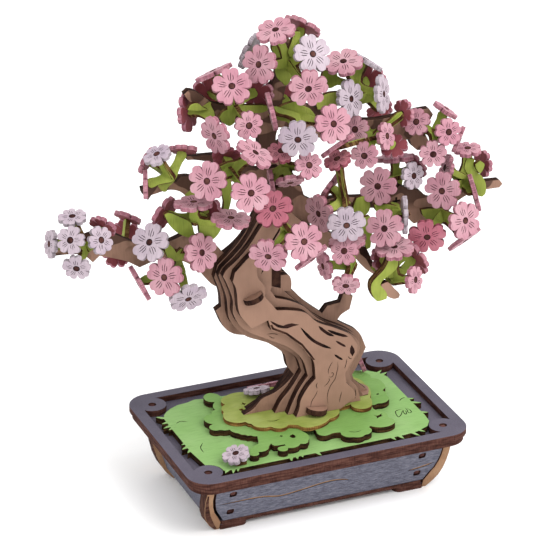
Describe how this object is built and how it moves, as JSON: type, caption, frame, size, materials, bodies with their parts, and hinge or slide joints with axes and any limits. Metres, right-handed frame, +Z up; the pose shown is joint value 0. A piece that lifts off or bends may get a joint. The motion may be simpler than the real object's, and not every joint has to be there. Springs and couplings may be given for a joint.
{
  "type": "cherry blossom bonsai plywood model",
  "caption": "Cherry blossom bonsai as a laser-cut plywood model: stacked trunk plates, branches with pink and white blossoms on green sprigs, and a moss board in a boat-shaped tray.",
  "frame": {"origin": "centre of the bounding box's underside, on the surface that the tray stands on", "axes": "+Z up, +X towards the tray's right-hand end, -Y towards the long side that is seen in front"},
  "size_m": [0.2064, 0.087, 0.2181],
  "materials": {
    "printed_grey": "matt grey-lavender print on plywood, laser-cut edges",
    "raw_ply": "plain sanded plywood, scorched laser-cut edges",
    "scorched_ply": "laser-scorched plywood edge, matt",
    "printed_moss": "matt green print on plywood",
    "printed_mound": "matt yellow-green print on plywood",
    "printed_bark": "matt tan bark print on plywood, dark laser-cut edges",
    "printed_pink": "matt pink print on thin plywood, on green printed sprigs",
    "printed_white": "matt lilac-white print on thin plywood"
  },
  "bodies": {
    "root": {"tray_rim": "printed_grey", "tray_floor": "printed_grey", "tray_base": "scorched_ply", "front_panel": "printed_grey", "left_panel": "printed_grey", "back_panel": "printed_grey", "right_panel": "printed_grey", "leg_front_right": "raw_ply", "foot_front_right": "scorched_ply", "leg_back_right": "raw_ply", "foot_back_right": "scorched_ply", "leg_back_left": "raw_ply", "foot_back_left": "scorched_ply", "leg_front_left": "raw_ply", "foot_front_left": "scorched_ply", "moss_board": "printed_moss", "moss_pad_right": "printed_moss", "moss_pad_left": "printed_moss", "moss_mound": "printed_mound", "trunk_front": "printed_bark", "trunk_second": "printed_bark", "trunk_third": "printed_bark", "trunk_middle": "printed_bark", "trunk_fifth": "printed_bark", "trunk_sixth": "printed_bark", "trunk_back": "printed_bark", "twig_left": "printed_bark", "ledge_upper": "printed_bark", "ledge_lower": "printed_bark", "spray_far_left": "printed_pink", "spray_left_twig": "printed_pink", "spray_left_inner": "printed_pink", "spray_left_low": "printed_pink", "spray_left_mid": "printed_pink", "spray_left_up": "printed_pink", "spray_mid_left": "printed_pink", "spray_upper_left": "printed_pink", "spray_upper_mid": "printed_pink", "spray_top": "printed_pink", "spray_top_right": "printed_pink", "spray_crown_front": "printed_pink", "spray_centre_up": "printed_pink", "spray_right_fork": "printed_pink", "spray_right_tip": "printed_pink", "spray_far_right": "printed_pink", "spray_right_low": "printed_pink", "spray_right_mid": "printed_pink", "spray_centre_right": "printed_pink", "spray_centre_low": "printed_pink", "spray_right_front": "printed_pink", "spray_low_right": "printed_pink", "spray_hook": "printed_pink", "fallen_pink_behind": "printed_pink", "fallen_white_behind": "printed_white", "fallen_pink_edge": "printed_pink", "fallen_white_front": "printed_white"}
  },
  "joints": []
}
